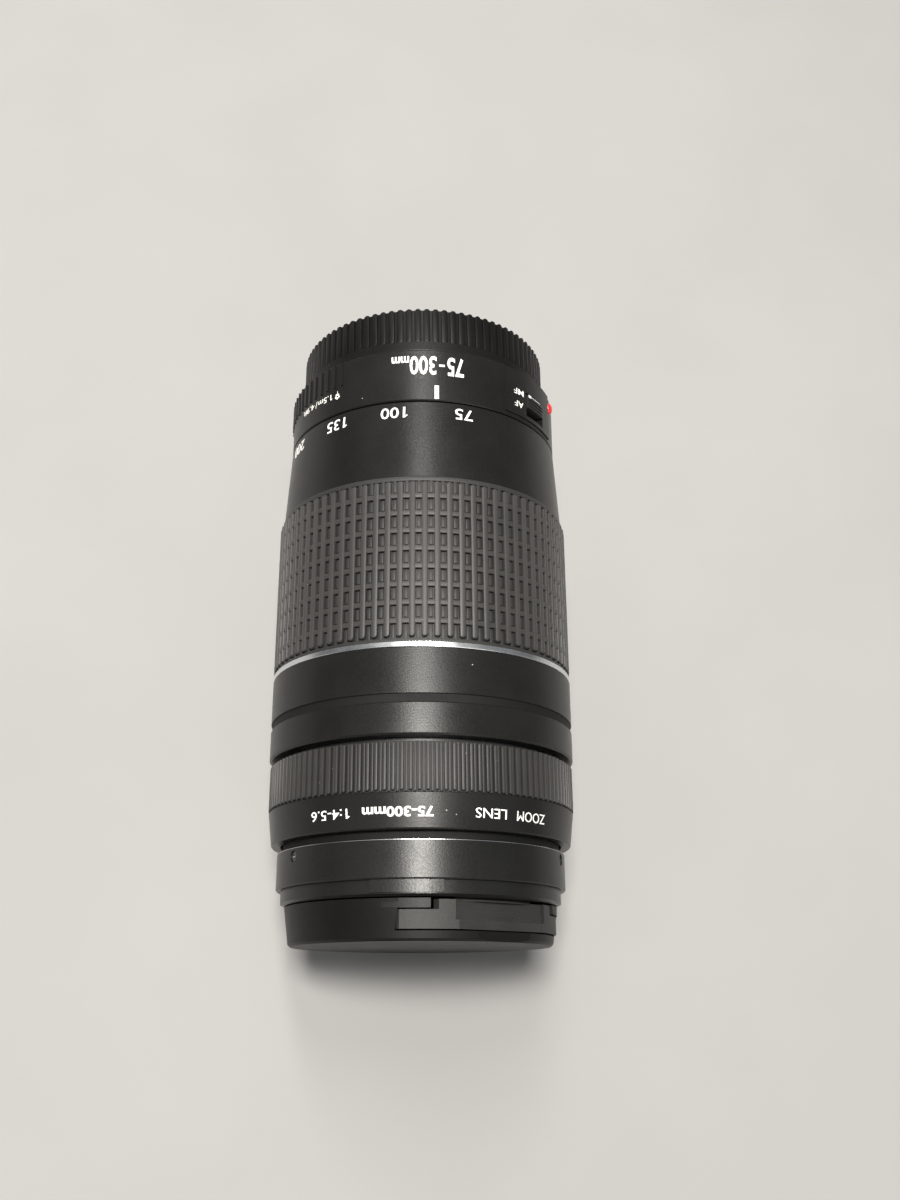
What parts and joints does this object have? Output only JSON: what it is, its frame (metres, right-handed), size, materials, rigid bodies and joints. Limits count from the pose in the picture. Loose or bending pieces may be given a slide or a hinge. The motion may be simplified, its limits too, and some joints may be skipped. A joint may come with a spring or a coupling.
{
  "type": "camera telephoto zoom lens",
  "caption": "Telephoto zoom lens for a single-lens reflex camera, with rubber zoom grip, ribbed focus ring, silver trim ring, and push-fit front and ribbed rear caps.",
  "frame": {"origin": "centre of the mount flange's rear face, on the optical axis", "axes": "+Y runs along the optical axis from the front rim towards the camera, +Z points at the zoom index line, +X is to the right when the lens is seen from the front cap's end with the index up"},
  "size_m": [0.071, 0.1464, 0.071],
  "materials": {
    "barrel_black": "satin, finely textured",
    "grip_rubber": "matte moulded rubber",
    "focus_rubber": "matte ribbed",
    "cap_black": "satin moulded",
    "latch_black": "spark-eroded texture",
    "knob_black": "satin",
    "trim_silver": "turned and polished",
    "index_red": "glossy dome",
    "marking_white": "paint-filled",
    "mount_metal": "plated, satin turned",
    "inner_alloy": "black anodised",
    "inner_black": "flat black",
    "screw_steel": "black-plated",
    "contact_gold": "gold-plated",
    "board_green": "solder mask",
    "chip_black": "moulded",
    "follower_nylon": "natural nylon",
    "motor_can": "plain",
    "gear_brass": "cut",
    "blade_black": "dry-film black",
    "spring_steel": "bright wire",
    "coated_glass": "polished, anti-reflection coated"
  },
  "bodies": {
    "housing": {"rear_housing": "barrel_black", "index_dot": "index_red", "index_line": "marking_white", "guide_barrel": "inner_alloy", "bayonet_mount": "mount_metal", "mount_screws": "screw_steel", "rear_baffle": "inner_black", "contact_block": "inner_black", "contact_pins": "contact_gold", "main_board": "board_green", "board_chips": "chip_black"},
    "af_switch": {"switch_knob": "knob_black"},
    "zoom_ring": {"zoom_ring": "barrel_black", "front_collar": "barrel_black", "trim_ring": "trim_silver", "zoom_grip": "grip_rubber", "cam_barrel": "inner_alloy", "drive_keys": "screw_steel"},
    "front_carrier": {"carrier_tube": "inner_alloy", "carrier_followers": "follower_nylon", "carrier_nose": "inner_alloy", "idler_axle": "screw_steel", "focus_motor": "motor_can"},
    "idler": {"idler_gear": "follower_nylon"},
    "pinion": {"motor_pinion": "gear_brass"},
    "focus_ring": {"focus_ring": "barrel_black", "focus_grip": "focus_rubber", "focus_gear_ring": "gear_brass"},
    "front_barrel": {"front_barrel": "barrel_black", "barrel_screws": "screw_steel", "front_cell": "inner_black", "helicoid_lugs": "follower_nylon", "front_doublet": "coated_glass", "front_singlet": "coated_glass", "front_retainers": "inner_black"},
    "variator_group": {"variator_cell": "inner_black", "variator_doublet": "coated_glass", "variator_singlet": "coated_glass"},
    "relay_group": {"relay_cell": "inner_black", "iris_motor": "motor_can", "relay_singlets": "coated_glass", "relay_doublet": "coated_glass"},
    "iris_ring": {"iris_ring": "blade_black"},
    "rear_group": {"rear_cell": "inner_black", "rear_doublet": "coated_glass", "rear_singlet": "coated_glass"},
    "front_cap": {"front_cap": "cap_black", "upper_latch_spring": "spring_steel", "lower_latch_spring": "spring_steel"},
    "upper_latch": {"upper_latch": "latch_black"},
    "lower_latch": {"lower_latch": "latch_black"},
    "rear_cap": {"rear_cap": "cap_black"},
    "iris_blade_1": {"iris_blade_1": "blade_black"},
    "iris_blade_2": {"iris_blade_2": "blade_black"},
    "iris_blade_3": {"iris_blade_3": "blade_black"},
    "iris_blade_4": {"iris_blade_4": "blade_black"},
    "iris_blade_5": {"iris_blade_5": "blade_black"},
    "iris_blade_6": {"iris_blade_6": "blade_black"},
    "iris_blade_7": {"iris_blade_7": "blade_black"}
  },
  "joints": [
    {"name": "zoom_turn", "type": "hinge", "parent": "housing", "child": "zoom_ring", "pos_m": [0, -0.046, 0], "axis": [0, 1, 0], "range_deg": [0, 103]},
    {"name": "carrier_slide", "type": "slide", "parent": "housing", "child": "front_carrier", "axis": [0, -1, 0], "range_m": [0, 0.05]},
    {"name": "variator_slide", "type": "slide", "parent": "housing", "child": "variator_group", "axis": [0, -1, 0], "range_m": [0, 0.01]},
    {"name": "relay_slide", "type": "slide", "parent": "housing", "child": "relay_group", "axis": [0, -1, 0], "range_m": [0, 0.016]},
    {"name": "rear_group_slide", "type": "slide", "parent": "housing", "child": "rear_group", "axis": [0, -1, 0], "range_m": [0, 0.022]},
    {"name": "focus_turn", "type": "hinge", "parent": "front_carrier", "child": "focus_ring", "pos_m": [0, -0.101, 0], "axis": [0, 1, 0], "range_deg": [0, 95]},
    {"name": "front_barrel_slide", "type": "slide", "parent": "focus_ring", "child": "front_barrel", "axis": [0, -1, 0], "range_m": [0, 0.011]},
    {"name": "idler_spin", "type": "hinge", "parent": "front_carrier", "child": "idler", "pos_m": [0, -0.0964, -0.02825], "axis": [0, 1, 0], "range_deg": [-10, 1000]},
    {"name": "pinion_spin", "type": "hinge", "parent": "front_carrier", "child": "pinion", "pos_m": [-0.00321, -0.0964, -0.02378], "axis": [0, 1, 0], "range_deg": [-1200, 10]},
    {"name": "iris_turn", "type": "hinge", "parent": "relay_group", "child": "iris_ring", "pos_m": [0, -0.0546, 0], "axis": [0, 1, 0], "range_deg": [-3.73, 0]},
    {"name": "blade_1_swing", "type": "hinge", "parent": "relay_group", "child": "iris_blade_1", "pos_m": [0, -0.052, 0.02], "axis": [0, 1, 0], "range_deg": [0, 28]},
    {"name": "blade_2_swing", "type": "hinge", "parent": "relay_group", "child": "iris_blade_2", "pos_m": [0.01564, -0.052, 0.01247], "axis": [0, 1, 0], "range_deg": [0, 28]},
    {"name": "blade_3_swing", "type": "hinge", "parent": "relay_group", "child": "iris_blade_3", "pos_m": [0.0195, -0.052, -0.00445], "axis": [0, 1, 0], "range_deg": [0, 28]},
    {"name": "blade_4_swing", "type": "hinge", "parent": "relay_group", "child": "iris_blade_4", "pos_m": [0.00868, -0.052, -0.01802], "axis": [0, 1, 0], "range_deg": [0, 28]},
    {"name": "blade_5_swing", "type": "hinge", "parent": "relay_group", "child": "iris_blade_5", "pos_m": [-0.00868, -0.052, -0.01802], "axis": [0, 1, 0], "range_deg": [0, 28]},
    {"name": "blade_6_swing", "type": "hinge", "parent": "relay_group", "child": "iris_blade_6", "pos_m": [-0.0195, -0.052, -0.00445], "axis": [0, 1, 0], "range_deg": [0, 28]},
    {"name": "blade_7_swing", "type": "hinge", "parent": "relay_group", "child": "iris_blade_7", "pos_m": [-0.01564, -0.052, 0.01247], "axis": [0, 1, 0], "range_deg": [0, 28]},
    {"name": "af_mf_slide", "type": "slide", "parent": "housing", "child": "af_switch", "axis": [0, -1, 0], "range_m": [0, 0.002]},
    {"name": "front_cap_off", "type": "slide", "parent": "front_barrel", "child": "front_cap", "axis": [0, -1, 0], "range_m": [0, 0.06]},
    {"name": "upper_latch_press", "type": "slide", "parent": "front_cap", "child": "upper_latch", "axis": [-0.521, 0, -0.8536], "range_m": [0, 0.0015], "stiffness_N_per_m": 600, "deforming": ["upper_latch_spring"]},
    {"name": "lower_latch_press", "type": "slide", "parent": "front_cap", "child": "lower_latch", "axis": [0.521, 0, 0.8536], "range_m": [0, 0.0015], "stiffness_N_per_m": 600, "deforming": ["lower_latch_spring"]},
    {"name": "rear_cap_off", "type": "slide", "parent": "housing", "child": "rear_cap", "axis": [0, 1, 0], "range_m": [0, 0.04]}
  ],
  "couplings": [
    {"joint": "carrier_slide", "follows": "zoom_turn", "m_per_rad": 0.027813},
    {"joint": "variator_slide", "follows": "zoom_turn", "m_per_rad": 0.0055627},
    {"joint": "relay_slide", "follows": "zoom_turn", "m_per_rad": 0.0089003},
    {"joint": "rear_group_slide", "follows": "zoom_turn", "m_per_rad": 0.012238},
    {"joint": "front_barrel_slide", "follows": "focus_turn", "m_per_rad": 0.0066342},
    {"joint": "idler_spin", "follows": "focus_turn", "ratio": 10.417},
    {"joint": "pinion_spin", "follows": "focus_turn", "ratio": -12.5},
    {"joint": "blade_1_swing", "follows": "iris_turn", "ratio": -7.4999},
    {"joint": "blade_2_swing", "follows": "iris_turn", "ratio": -7.4999},
    {"joint": "blade_3_swing", "follows": "iris_turn", "ratio": -7.4999},
    {"joint": "blade_4_swing", "follows": "iris_turn", "ratio": -7.4999},
    {"joint": "blade_5_swing", "follows": "iris_turn", "ratio": -7.4999},
    {"joint": "blade_6_swing", "follows": "iris_turn", "ratio": -7.4999},
    {"joint": "blade_7_swing", "follows": "iris_turn", "ratio": -7.4999}
  ]
}
